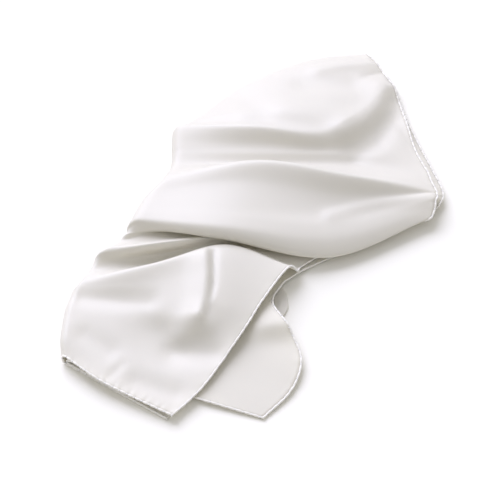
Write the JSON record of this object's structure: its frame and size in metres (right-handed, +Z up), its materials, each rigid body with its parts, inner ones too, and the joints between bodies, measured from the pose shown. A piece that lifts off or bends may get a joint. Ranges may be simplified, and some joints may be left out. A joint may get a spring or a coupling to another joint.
{
  "type": "folded square scarf",
  "caption": "Square silk scarf with a rolled hem, folded in four along its length and laid down loosely in soft folds.",
  "frame": {"origin": "middle, in plan, of the box that the scarf lies in, on its flat underside", "axes": "+X to the right and +Y to the back as seen in the picture, +Z up; the strip runs from its near end at the front left to its fanned end at the back right"},
  "size_m": [0.3775, 0.4815, 0.0465],
  "materials": {
    "silk": "white silk satin with a soft sheen"
  },
  "bodies": {
    "root": {"scarf": "silk"}
  },
  "joints": []
}
